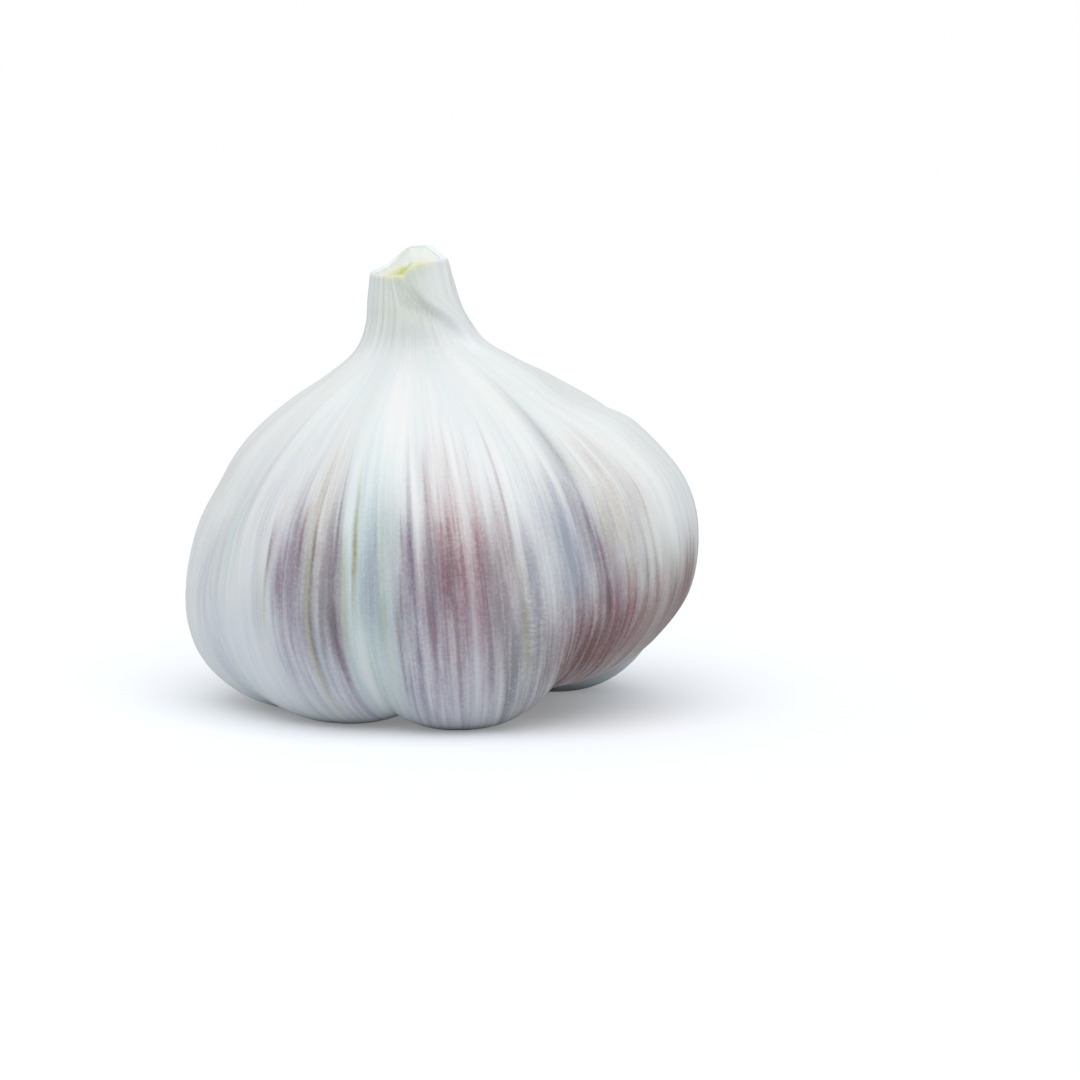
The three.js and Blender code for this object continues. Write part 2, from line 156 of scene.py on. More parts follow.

# Pigment of the skin, and painted shade and light: tint, angle at the belly, from height, to height,
# half width in degrees, strength.
# Wide ones are the clouds of colour over a clove, narrow ones are the lines in them.
STREAKS = (
    # The left side clove, faint
    ("lilac", -58.0, 2, 16, 18.0, 0.38), ("violet", -68.5, 13, 21, 4.0, 0.35),
    ("violet", -67.0, 4, 12, 2.2, 0.35), ("violet", -64.5, 4, 10, 0.6, 0.3),
    ("violet", -62.0, 14, 27, 1.6, 0.3), ("violet", -54.0, 19, 33, 1.6, 0.3),
    ("frost", -57.0, 15, 25, 3.5, 0.3), ("lilac", -47.0, 4, 13, 7.0, 0.2),
    ("violet", -44.5, 8, 20, 1.0, 0.25), ("grey", -43.2, 9, 15, 0.5, 0.25),
    ("straw", -42.4, 9, 19, 0.5, 0.22),
    # The left purple clove
    ("violet", -35.0, 8, 23, 6.5, 0.5), ("violet", -34.0, 1, 12, 6.0, 0.4),
    ("brown_and_shade", -32.0, 18, 30, 8.0, 0.18), ("dark", -40.2, 16, 20, 0.5, 0.7),
    ("red", -39.6, 17, 20.5, 0.5, 0.35), ("straw", -40.6, 12, 16.5, 0.6, 0.5),
    ("indigo", -37.9, 13, 18, 0.6, 0.35), ("purple", -36.6, 12.5, 19, 1.1, 0.6),
    ("indigo", -35.3, 11, 24, 0.5, 0.6), ("purple", -34.3, 13, 21, 0.7, 0.45),
    ("indigo", -33.6, 5, 22, 0.5, 0.4), ("purple", -32.4, 13, 22, 1.4, 0.55),
    ("dark", -31.6, 15, 21, 0.5, 0.5), ("indigo", -30.9, 12, 17, 0.9, 0.35),
    ("indigo", -36.2, 3, 11, 0.6, 0.35), ("indigo", -32.0, 3, 12, 0.6, 0.35),
    # The yellow line down it, and the greyer band round that
    ("brown_and_shade", -27.2, 12, 27, 3.6, 0.5), ("straw", -28.8, 1, 24, 0.5, 0.55),
    ("dark", -28.0, 5, 25, 0.5, 0.55), ("grey", -30.0, 4, 9, 0.5, 0.3),
    ("frost", -26.6, 7, 13, 0.8, 0.6),
    # Its right purple band
    ("purple", -23.6, 11.5, 20.5, 1.8, 0.9), ("grey", -23.6, 9, 23, 2.4, 0.5),
    ("dark", -23.2, 10, 19, 0.7, 0.5), ("dark", -22.2, 3, 24, 0.5, 0.6),
    ("violet", -23.4, 1, 12, 4.2, 0.8), ("purple", -21.8, 7, 14, 1.4, 0.65),
    ("indigo", -25.8, 4, 13, 0.5, 0.4), ("grey", -21.4, 13, 21, 0.6, 0.35),
    ("violet", -23.5, 17, 25, 2.4, 0.35), ("violet", -28.5, 9, 20, 4.5, 0.44),
    ("grey", -29.0, 10, 20, 4.5, 0.46), ("grey", -22.6, 9, 17, 2.4, 0.38),
    # The blue green band, with the slit of the leaf at its left
    ("straw", -17.8, 14, 25, 0.45, 0.95), ("dark", -18.1, 14, 23, 0.45, 0.35),
    ("straw", -19.6, 8, 15, 0.5, 0.35), ("straw", -20.6, 11, 20, 0.5, 0.3),
    ("blue", -13.8, 11, 22, 2.2, 0.85), ("frost", -14.5, 4, 25, 6.2, 0.92),
    ("blue", -15.8, 9, 14, 0.8, 0.3), ("white", -17.0, 3, 12, 1.0, 0.3),
    ("straw", -11.4, 4, 21, 0.7, 0.3), ("straw", -15.5, 2, 8, 0.6, 0.2),
    # The left edge of the middle clove
    ("grey", -7.5, 9, 23, 3.0, 0.25), ("violet", -6.2, 1, 20, 3.4, 0.5),
    ("dark", -8.1, 4, 12, 0.5, 0.55), ("dark", -7.0, 11, 17, 0.5, 0.5),
    ("dark", -6.0, 16, 20, 0.55, 0.65), ("purple", -4.9, 11, 19, 1.3, 0.65),
    ("indigo", -4.0, 2, 24, 0.55, 0.75), ("indigo", -5.6, 9, 17, 0.5, 0.4),
    ("indigo", -6.6, 2, 9, 0.5, 0.35), ("white", -2.2, 19, 27, 0.8, 0.3),
    ("violet", -1.8, 1, 20, 1.8, 0.5),
    # The red purple middle clove
    ("violet", 4.0, 0, 13, 16.0, 0.7), ("purple", 0.3, 11, 20, 1.4, 0.85),
    ("grey", 0.5, 10, 20, 1.6, 0.62), ("dark", 0.4, 11, 19, 1.1, 0.4), ("dark", 0.5, 19, 26, 0.5, 0.35),
    ("red", 0.6, 20, 26, 0.8, 0.35), ("purple", -0.4, 5, 12, 0.6, 0.4), ("red", 9.0, 9, 21, 12.0, 0.34),
    ("red", 5.0, 9, 20.5, 5.0, 0.66), ("red", 4.4, 13, 19.5, 1.5, 0.75), ("dark", 4.6, 8, 19, 1.6, 0.6),
    ("purple", 6.0, 6, 19, 7.0, 0.35), ("purple", 2.9, 7, 15, 0.5, 0.4),
    ("indigo", 2.0, 2, 12, 0.6, 0.28), ("purple", 4.9, 3, 13, 0.6, 0.4),
    ("indigo", 7.4, 2, 11, 0.6, 0.35), ("purple", 6.6, 5, 12, 0.6, 0.3),
    ("red", 6.5, 18, 28, 6.0, 0.28), ("red", 6.2, 20, 24, 0.8, 0.35), ("white", 9.0, 19, 30, 0.6, 0.45),
    ("white", 8.7, 2, 15, 0.5, 0.25), ("red", 11.2, 12, 21, 1.6, 0.5),
    ("purple", 11.4, 8, 16, 0.7, 0.45), ("dark", 12.0, 4, 14, 0.5, 0.4), ("red", 15.0, 8, 20, 4.0, 0.5),
    ("purple", 13.6, 11, 18, 0.8, 0.35), ("purple", 16.2, 10, 17, 0.6, 0.35),
    ("grey", 15.0, 8, 20, 3.6, 0.52), ("indigo", 13.2, 2, 10, 0.6, 0.25),
    ("dark", 15.6, 4, 9, 0.5, 0.45),
    # Its grey and blue right edge
    ("grey", 17.2, 2, 10, 3.5, 0.95), ("dark", 18.9, 4, 9, 0.5, 0.35),
    ("straw", 20.4, 2, 17, 0.55, 0.45), ("dark", 19.6, 12, 20, 0.5, 0.35),
    ("red", 19.6, 18, 28, 0.5, 0.45), ("blue", 23.4, 10, 19, 1.8, 0.65),
    ("indigo", 22.2, 13, 20, 0.5, 0.35), ("violet", 23.6, 9, 16, 1.4, 0.3),
    ("grey", 24.2, 2, 9.5, 4.2, 0.88), ("dark", 24.8, 4, 8, 0.6, 0.3), ("dark", 22.0, 4, 7, 0.5, 0.3),
    ("violet", 29.0, 6, 14, 2.6, 0.35), ("grey", 28.0, 14, 32, 6.0, 0.1),
    # The blue and violet valley before the right clove, with painted grey shade along it
    ("blue", 33.6, 9, 22, 3.8, 0.82), ("blue", 36.0, 10, 21, 1.8, 0.35),
    ("violet", 32.0, 8, 22, 5.5, 0.48), ("indigo", 35.6, 11, 17, 0.5, 0.35),
    ("violet", 37.5, 9, 23, 2.4, 0.6), ("grey", 40.8, 13, 33, 2.8, 0.5),
    ("indigo", 41.2, 14, 28, 0.7, 0.4), ("purple", 42.0, 10, 20, 2.4, 0.7),
    ("dark", 42.6, 10, 18, 0.6, 0.45), ("dark", 42.0, 7, 13, 0.6, 0.4),
    ("purple", 43.0, 5, 10, 2.6, 0.4), ("violet", 46.0, 6, 17, 2.4, 0.6),
    ("purple", 46.4, 5, 12, 1.8, 0.3),
    # The right clove, with its thin brown lines
    ("brown_and_shade", 50.5, 9, 25, 7.5, 0.42), ("red", 52.0, 18, 29, 7.0, 0.1),
    ("straw", 45.0, 15, 23, 0.7, 0.22), ("violet", 47.2, 9, 22, 0.7, 0.4),
    ("straw", 49.8, 12, 19, 0.6, 0.18), ("purple", 48.8, 8, 17, 0.5, 0.35),
    ("purple", 51.0, 7, 16, 0.6, 0.4), ("violet", 52.8, 9, 20, 0.7, 0.35),
    ("purple", 54.4, 7, 15, 0.7, 0.45), ("brown_and_shade", 57.0, 10, 21, 0.5, 0.85),
    ("dark", 57.4, 8, 13, 0.5, 0.35), ("purple", 59.5, 7, 14, 0.7, 0.28),
    ("violet", 62.0, 8, 16, 0.8, 0.2), ("purple", 64.5, 7, 13, 0.7, 0.2),
    # The white patch at 64.5 degrees is painted light on the right clove's upper side
    ("violet", 55.0, 15, 24, 0.6, 0.25), ("white", 64.5, 14, 27, 5.0, 0.5),
    # The red low on the right clove, and the brown and umber there: partly their colour, partly painted
    # shade
    ("brown_and_shade", 76.0, 3, 13.5, 9.0, 0.85), ("umber_and_shade", 74.0, 3.2, 13.5, 13.0, 0.88),
    ("brown_and_shade", 62.0, 2, 13, 14.0, 0.7), ("umber_and_shade", 46.0, 1, 9.5, 17.0, 0.56),
    ("umber_and_shade", 34.0, 1, 9.5, 7.0, 0.64), ("umber_and_shade", 43.0, 2, 9.0, 6.5, 0.86),
    ("red", 45.0, 2, 10.5, 13.0, 0.95), ("purple", 38.0, 2, 11, 9.0, 0.5),
    # Faint clouds on the shoulder
    ("violet", -42.0, 21, 32, 9.0, 0.2), ("violet", 5.0, 20, 33, 15.0, 0.12),
)
TINTS = (
    "lilac", "violet", "frost", "blue", "brown_and_shade", "sage", "red", "purple", "grey",
    "umber_and_shade", "straw", "indigo", "dark", "white", "ivory",
)
# Each attribute of the skin's mesh holds three tints
TINT_SETS = {f"tints_{first // 3}": TINTS[first:first + 3] for first in range(0, len(TINTS), 3)}
# Streaks on the sides and the back: middle angle, how many, strength
HIDDEN_GROUPS = (
    (96, 5, 0.75), (122, 6, 0.95), (146, 4, 0.6), (172, 6, 0.9), (203, 5, 0.7), (228, 6, 0.9),
)
HIDDEN_SEED = 12


def linear(hex_colour, alpha=1.0):
    """The linear colour of an sRGB hex value."""
    parts = [int(hex_colour[i:i + 2], 16) / 255 for i in (1, 3, 5)]
    return (*(c / 12.92 if c <= 0.04045 else ((c + 0.055) / 1.055) ** 2.4 for c in parts), alpha)


def colour(label, hex_colour, words):
    """A colour setting, with its default as an sRGB hex value."""
    return bpy.props.FloatVectorProperty(
        name=label, description=words, subtype="COLOR", size=4, min=0, max=1, default=linear(hex_colour),
    )


def length(label, millimetres, words):
    """A length setting, with its default in millimetres."""
    return bpy.props.FloatProperty(
        name=label, description=words, unit="LENGTH", precision=5, default=millimetres * MM,
    )


class GarlicSkinSettings(bpy.types.PropertyGroup):
    """Sizes and colours of the dry outer leaves"""
    segments: bpy.props.IntProperty(name="Segments", description="Steps round the bulb", default=720)
    rings: bpy.props.IntProperty(name="Rings", description="Steps from foot to cut", default=134)
    rib_depth: length("Rib depth", 0.03, "Height of the leaf ribs on the belly")
    pleat_depth: length("Pleat depth", 0.07, "Height of the pleats on the neck")
    uneven: length("Unevenness", 0.22, "Height of the soft dents of the wrapper")
    paper: colour("Paper", "#E2E5E4", "Clean dry leaf")
    cool: colour("Cool paper", "#DAE0E1", "Leaf where the clove under it shows through")
    vein: colour("Vein", "#C6CCCC", "Fine veins of the leaf")
    violet: colour("Violet", "#A5A1B2", "Pale violet clouds")
    purple: colour("Purple", "#83697B", "Strong purple streaks")
    indigo: colour("Indigo", "#736880", "Blue violet lines")
    red: colour("Red", "#9B7075", "Red purple streaks")
    frost: colour("Blue green", "#B1C7C7", "Blue green streaks")
    straw: colour("Straw", "#A2A676", "Yellow green lines")
    # Grey also serves as painted shade: along the valley before the right clove, at the neck's foot and
    # in the crinkles
    grey: colour("Grey", "#8A8A8F", "Grey lines")
    # White also serves as painted light on the right clove's upper side
    white: colour("White", "#ECEFED", "White ridges")
    dark: colour("Dark", "#6A5A66", "Dark violet lines")
    ivory: colour("Ivory", "#DCDCB0", "Yellow edge of the cut")
    # Brown also serves as painted shade low on the right clove
    brown_and_shade: colour("Brown", "#A69A8E", "Brown tint at the right")
    sage: colour("Sage", "#BCC6B6", "Green tint of the neck")
    # Umber is mostly painted shade low on the right clove, partly its own dark colour
    umber_and_shade: colour("Umber", "#6C4E4B", "Brown shade of the lower right")
    lilac: colour("Lilac", "#CDD5E0", "Faint lilac of the side clove")
    blue: colour("Blue", "#9AA2AE", "Blue grey streaks")


class GarlicStalkSettings(bpy.types.PropertyGroup):
    """Sizes and colours of the inner stalk at the cut"""
    dish: length("Dish", 0.3, "Depth of the hollow at the front of the cut face")
    groove: length("Groove", 0.10, "Depth of the lines between the leaf sheaths")
    flesh: colour("Flesh", "#DDE0DA", "Cut face of the stalk")
    green: colour("Green", "#B4BE60", "Yellow green hollow at the front")


class GarlicRootSettings(bpy.types.PropertyGroup):
    """Sizes and colours of the root plate"""
    thick: length("Root thickness", 0.55, "Radius of a root where it leaves the plate")
    thin: length("Tip thickness", 0.34, "Radius of a root where it is cut")
    cork: colour("Cork", "#A98F68", "Corky root plate")
    root: colour("Root", "#C9B48C", "Dry root")


class GarlicStageSettings(bpy.types.PropertyGroup):
    """Floor, lights and camera"""
    floor: colour("Floor", "#DCE0E5", "Plain floor")
    glow: bpy.props.FloatProperty(
        name="Glow", description="Light that the floor seems to give", default=0.21,
    )
    sky: colour("Surround", "#FFFFFF", "Plain surround")
    surround: bpy.props.FloatProperty(
        name="Surround light", description="Light that the surround gives", default=0.55,
    )
    key: bpy.props.FloatProperty(
        name="Key", description="Strength of the wide light above", default=2.0,
    )
    key_width: bpy.props.FloatProperty(
        name="Key width", description="How wide the light above is",
        subtype="ANGLE", default=math.radians(70),
    )


def smooth(start, end, x):
    """0 to 1 as x goes from start to end, with soft ends. Start may be above end."""
    t = np.clip((x - start) / (end - start), 0, 1)
    return t * t * (3 - 2 * t)


def wrap(angle):
    """The same angle, from -180 to 180 degrees."""
    return (angle + 180) % 360 - 180


def outline_table():
    """A centripetal curve through the outline: share of its length, points and directions."""
    p = np.array(OUTLINE, float)
    p = np.vstack([2 * p[0] - p[1], p, 2 * p[-1] - p[-2]])
    curve = []
    for p0, p1, p2, p3 in zip(p, p[1:], p[2:], p[3:]):
        t0 = 0.0
        t1 = t0 + np.linalg.norm(p1 - p0) ** 0.5
        t2 = t1 + np.linalg.norm(p2 - p1) ** 0.5
        t3 = t2 + np.linalg.norm(p3 - p2) ** 0.5
        t = np.linspace(t1, t2, 120, endpoint=False)[:, None]
        a1 = (t1 - t) / (t1 - t0) * p0 + (t - t0) / (t1 - t0) * p1
        a2 = (t2 - t) / (t2 - t1) * p1 + (t - t1) / (t2 - t1) * p2
        a3 = (t3 - t) / (t3 - t2) * p2 + (t - t2) / (t3 - t2) * p3
        b1 = (t2 - t) / (t2 - t0) * a1 + (t - t0) / (t2 - t0) * a2
        b2 = (t3 - t) / (t3 - t1) * a2 + (t - t1) / (t3 - t1) * a3
        curve.append((t2 - t) / (t2 - t1) * b1 + (t - t1) / (t2 - t1) * b2)
    curve = np.vstack(curve + [p[-2:-1]])
    step = np.linalg.norm(np.diff(curve, axis=0), axis=1)
    share = np.r_[0, np.cumsum(step)] / step.sum()
    way = np.gradient(curve, axis=0)
    way /= np.linalg.norm(way, axis=1)[:, None]
    return share, curve, way


SHARE, CURVE, WAY = outline_table()


def outline_at(along):
    """Radius, height and the two parts of the direction, at a share of the outline's length."""
    return [np.interp(along, SHARE, column) for column in (*CURVE.T, *WAY.T)]


def clove_height(k, height):
    """How far the middle of clove k stands out of the outline."""
    _, _, bulge, belly, above, below, drop = CLOVES[k % len(CLOVES)]
    low = smooth(FOOT_TOP, 0, height)
    reach = np.where(height > belly, above, below)
    return bulge * np.exp(-((height - belly) / reach) ** 2) + drop * low ** 2


def clove_relief(angle, radius, height):
    """How far the skin stands out of the outline over the cloves."""
    low = smooth(FOOT_TOP, 0, height)
    edge = CLOVE_EDGE_HIGH + (CLOVE_EDGE_LOW - CLOVE_EDGE_HIGH) * low
    out = np.zeros_like(angle)
    for k, (valley, foot, *_) in enumerate(CLOVES):
        after_valley, after_foot = CLOVES[(k + 1) % len(CLOVES)][:2]
        start = valley + (foot - valley) * low
        width = (after_valley + (after_foot - after_valley) * low - start) % 360
        share = ((angle - start) % 360) / width
        full = clove_height(k, height)
        before = BRIDGED * np.minimum(full, clove_height(k - 1, height))
        after = BRIDGED * np.minimum(full, clove_height(k + 1, height))
        floor = before + (after - before) * smooth(0, 1, share)
        across = np.maximum(1 - np.abs(2 * np.clip(share, 0, 1) - 1) ** CLOVE_ROUND, 0) ** edge
        out = np.where(share < 1, floor + across * (full - floor), out)
    return out * smooth(HOLLOW_RADIUS, 14, radius)


def fold_angle(height):
    """Where the outer leaf laps over itself, at a height, with the bends of its path rounded."""
    heights, turns = zip(*FOLD)
    return sum(np.interp(height + above, heights, turns) for above in (-1, -0.5, 0, 0.5, 1)) / 5


def fold_relief(angle, height):
    """How far the fold's lip stands out of the outline, and how deep the leaf lies beside it."""
    past = wrap(angle - fold_angle(height))
    strength = smooth(FOLD_FOOT, FOLD_FOOT + 6, height) * (1 - 0.75 * smooth(42, 49, height))
    lip = smooth(-7, 7, past) * np.exp(-np.maximum(past, 0) / 38)
    beside = np.exp(-((past + 16) / 15) ** 2) * smooth(36, 41, height) * smooth(49, 42, height)
    return strength * (FOLD_LIP * lip - FOLD_HOLLOW * beside)


def cut_height(angle):
    """Height of the cut round the neck, from its highest side, with its corners a little rounded."""
    turns, heights = zip(*CUT)
    spread = np.linspace(-CUT_SOFT_DEG, CUT_SOFT_DEG, 5)
    return sum(np.interp(wrap(angle + aside), turns, heights) for aside in spread) / len(spread)


def skin_point(angle, along, extra=0.0):
    """Points of the skin on the upright bulb, at angles and shares of the outline."""
    radius, height, way_r, way_h = outline_at(along)
    out = clove_relief(angle, radius, height) + fold_relief(angle, height) + extra
    r = radius + out * way_h
    h = height - out * way_r
    slanted = h + (h - NECK_FROM) / (CUT_TOP - NECK_FROM) * cut_height(angle)
    h = np.where(h > NECK_FROM, slanted, h)
    flat = 1 + (NECK_DEPTH - 1) * smooth(40, 50, height)
    turn = np.radians(angle)
    return np.stack([r * np.sin(turn), -r * np.cos(turn) * flat * DEPTH, h], -1)


def lean(points):
    """Points of the upright bulb, turned to its lean."""
    c, s = math.cos(math.radians(LEAN_DEG)), math.sin(math.radians(LEAN_DEG))
    x, y, z = np.moveaxis(points, -1, 0)
    return np.stack([x * c - z * s, y, x * s + z * c], -1)


def standing_shift():
    """The move, in mm, that puts the leaned bulb over the middle of the frame's bulb, on its flats."""
    angle, along = np.meshgrid(np.arange(-180.0, 180.0, 1.0), np.linspace(0, 1, 240))
    form = lean(skin_point(angle, along)).reshape(-1, 3)
    low, high = form.min(0), form.max(0)
    cad_low, cad_high = (np.array(corner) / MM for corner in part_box("wrapped_bulb"))
    middle = (cad_low + cad_high) / 2 - (low + high) / 2
    return np.array([middle[0], middle[1], cad_low[2] - low[2] - PRESSED])


STAND = standing_shift()


def placed(points):
    """Points of the upright bulb, in mm, to metres on the floor."""
    world = lean(points) + STAND
    world[..., 2] = np.maximum(world[..., 2], 0)
    return world * MM


def waves(angle, counts, seed, drift=0.0):
    """A seeded sum of waves round the bulb, about -1 to 1, with no seam."""
    draw = np.random.default_rng(seed)
    turn = np.radians(angle)
    total = 0
    for count in counts:
        start = draw.uniform(0, 2 * math.pi)
        total = total + np.sin(count * turn + start + drift * draw.uniform(-1, 1))
    return total / math.sqrt(len(counts))


def spot(angle, height, place):
    """A soft round patch of the skin: its strength at its middle, falling to 0 round it."""
    middle, level, half, tall, strength = place
    return strength * np.exp(-(wrap(angle - middle) / half) ** 2 - ((height - level) / tall) ** 2)


def leaf_turn(angle, height):
    """The angle at the belly of the vein that runs through a point. Veins close in on the front."""
    past = wrap(angle - fold_angle(height))
    near = np.where(past > 0, np.exp(-(past / 75) ** 2), np.exp(-(past / 16) ** 2))
    aside = np.sin(np.radians(angle - 5))
    belly = 0.07 * smooth(8, 20, height)
    shoulder = 0.22 * aside ** 2 * smooth(20, 33, height)
    beside_fold = (FOLD[0][1] - fold_angle(height)) * near * smooth(34, 44, height)
    return angle + np.degrees((belly + shoulder) * aside) + beside_fold


def fine_relief(settings, angle, height):
    """Ribs, pleats and dents of the dry leaves, in mm along the outline's normal."""
    turn = leaf_turn(angle, height)
    drift = height / 14
    belly = smooth(1.5, 8, height) * (1 - 0.8 * smooth(20, 30, height)) * smooth(44, 38, height)
    neck = smooth(36, 44, height) * smooth(51.5, 49, height)
    ribs = waves(turn, RIB_WAVES, RIB_SEED, drift) * settings.rib_depth / MM
    pleats = waves(turn, PLEAT_WAVES, PLEAT_SEED, drift) * settings.pleat_depth / MM
    total = ribs * belly + pleats * neck

    dents = waves(angle, DENT_WAVES, DENT_SEED, height / 5) * settings.uneven / MM
    total = total + dents * smooth(3, 9, height) * smooth(40, 33, height)
    total = total + sum(spot(angle, height, place) for place in DENTS)
    middle, half, rise = SWELL
    total = total + rise * np.exp(-(wrap(angle - middle) / half) ** 2) * smooth(41, 46, height)

    for middle, half, rise, start, end in LINES:
        line = rise * np.exp(-((angle - middle) / half) ** 2)
        total = total + line * smooth(*start, height) * smooth(*end, height)
    past = wrap(angle - fold_angle(height))
    creases = sum(rise * np.exp(-((past - middle) / half) ** 2) for middle, half, rise in CREASES)
    return total + creases * smooth(37, 41, height) * smooth(49.5, 46, height)


def streak(turn, height, row):
    """How much of one streak shows, 0 to 1, with soft and ragged ends."""
    _, middle, low, high, half, strength = row
    own = turn + RAGGED_STEP * middle
    ragged = height + sum(reach * waves(own, counts, seed) for reach, counts, seed in RAGGED)
    across = np.exp(-(wrap(turn - middle) / half) ** 2 * STREAK_FADE)
    soft = STREAK_SOFT_SHARE * (high - low) + STREAK_SOFT
    ends = smooth(low - soft, low + soft, ragged) * smooth(high + soft, high - soft, ragged)
    return strength * across * ends


def hidden_streaks():
    """Streaks for the sides and the back, in groups like those in front."""
    draw = np.random.default_rng(HIDDEN_SEED)
    rows = []
    for middle, count, strength in HIDDEN_GROUPS:
        for _ in range(count):
            at = middle + draw.uniform(-11, 11)
            top = draw.uniform(17, 23)
            tint = draw.choice(["purple", "red", "violet"])
            low, half, share = draw.uniform(7, 13), draw.uniform(0.7, 2.0), draw.uniform(0.55, 1)
            rows.append((tint, at, low, top, half, strength * share))
            cloud_at = at + draw.uniform(-2, 2)
            rows.append(("violet", cloud_at, 1.5, draw.uniform(9, 13), draw.uniform(1.5, 3.2), 0.55))
            line_at = at + draw.uniform(-2, 2)
            rows.append(("dark", line_at, draw.uniform(2, 8), top, 0.6, draw.uniform(0.3, 0.7)))
        rows.append(("straw", middle + draw.uniform(-9, 9), 4, 22, 0.6, draw.uniform(0.4, 0.8)))
        rows.append(("violet", middle, 3, 21, 9, 0.45))
        rows.append(("frost", middle + 15, 3, 22, 5, 0.6))
    return rows


def tint_amounts(angle, height):
    """How much of each tint, painted shade and light among them, the skin has at each point."""
    turn = leaf_turn(angle, height)
    bare = {tint: np.ones_like(angle) for tint in TINTS}
    for row in (*STREAKS, *hidden_streaks()):
        bare[row[0]] *= 1 - streak(turn, height, row)
    # The neck is a little green in front, has painted shade at its foot, and is white and ivory along
    # the cut
    turned = wrap(angle)
    front = np.exp(-((turned - 4) / 30) ** 2)
    bare["straw"] *= 1 - 0.12 * front * smooth(41, 47, height)
    bare["grey"] *= 1 - spot(angle, height, NECK_SHADE)
    green = 0.45 - 0.38 * smooth(18, 60, np.abs(turned + 15))
    bare["sage"] *= 1 - green * smooth(38, 44, height)
    bare["white"] *= 1 - 0.8 * smooth(50.4, CUT_TOP, height)
    edge = smooth(49.2, 50.4, height) * smooth(-60, -30, turned) * smooth(48, 8, turned)
    bare["ivory"] *= 1 - 0.8 * edge
    return {tint: 1 - share for tint, share in bare.items()}


def deselect_all():
    if bpy.context.object and bpy.context.object.mode != "OBJECT":
        bpy.ops.object.mode_set(mode="OBJECT")
    bpy.ops.object.select_all(action="DESELECT")


def vertex_array(mesh):
    """The places of a mesh's vertices, one to a row."""
    points = np.empty(len(mesh.vertices) * 3)
    mesh.vertices.foreach_get("co", points)
    return points.reshape(-1, 3)


def move_vertices(mesh, points):
    """Shapes a mesh, as by sculpting: each vertex goes to its new place."""
    mesh.vertices.foreach_set("co", np.ascontiguousarray(points, dtype=np.float64).ravel())
    mesh.update()


def ball(segments, rings):
    """A closed ball, wrapped from a grid, with each vertex's angle and its ring from the foot up."""
    deselect_all()
    bpy.ops.mesh.primitive_grid_add(x_subdivisions=segments, y_subdivisions=rings, size=2)
    piece = bpy.context.object
    sheet = vertex_array(piece.data)
    turn, rise = sheet[:, 0] * math.pi, sheet[:, 1] * math.pi / 2
    round_it = (np.cos(rise) * np.sin(turn), -np.cos(rise) * np.cos(turn), np.sin(rise))
    move_vertices(piece.data, np.stack(round_it, -1))
    bpy.ops.object.mode_set(mode="EDIT")
    bpy.ops.mesh.select_all(action="SELECT")
    bpy.ops.mesh.remove_doubles(threshold=1e-5)
    bpy.ops.object.mode_set(mode="OBJECT")
    x, y, z = vertex_array(piece.data).T
    ring = np.rint((1 - np.arccos(np.clip(z, -1, 1)) / math.pi) * rings).astype(int)
    return piece, np.degrees(np.arctan2(x, -y)), ring


def store(mesh, name, columns):
    """Keeps one to three numbers for each vertex, for the material to read."""
    values = np.zeros((len(mesh.vertices), 3), np.float32)
    values[:, :len(columns)] = np.stack(columns, -1)
    attribute = mesh.attributes.new(name, "FLOAT_VECTOR", "POINT")
    attribute.data.foreach_set("vector", values.ravel())


def finish_piece(piece, name, node, material):
    """Names a piece, gives it its material, and puts it in the place of the frame's node."""
    piece.name = name
    piece.data.name = name
    piece.data.materials.clear()
    piece.data.materials.append(material)
    bpy.ops.object.shade_smooth()
    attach(piece, "root")
    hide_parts(node)


def new_material(name):
    material = bpy.data.materials.new(name)
    material.use_nodes = True
    tree = material.node_tree
    tree.nodes.clear()
    return material, tree


def add(tree, kind, links=None, **settings):
    """Adds a node. Links are its inputs, each a value or another node's output; settings are its own."""
    node = tree.nodes.new("ShaderNode" + kind)
    for key, value in settings.items():
        setattr(node, key, value)
    for key, value in (links or {}).items():
        if isinstance(value, bpy.types.NodeSocket):
            tree.links.new(value, node.inputs[key])
        else:
            node.inputs[key].default_value = value
    return node


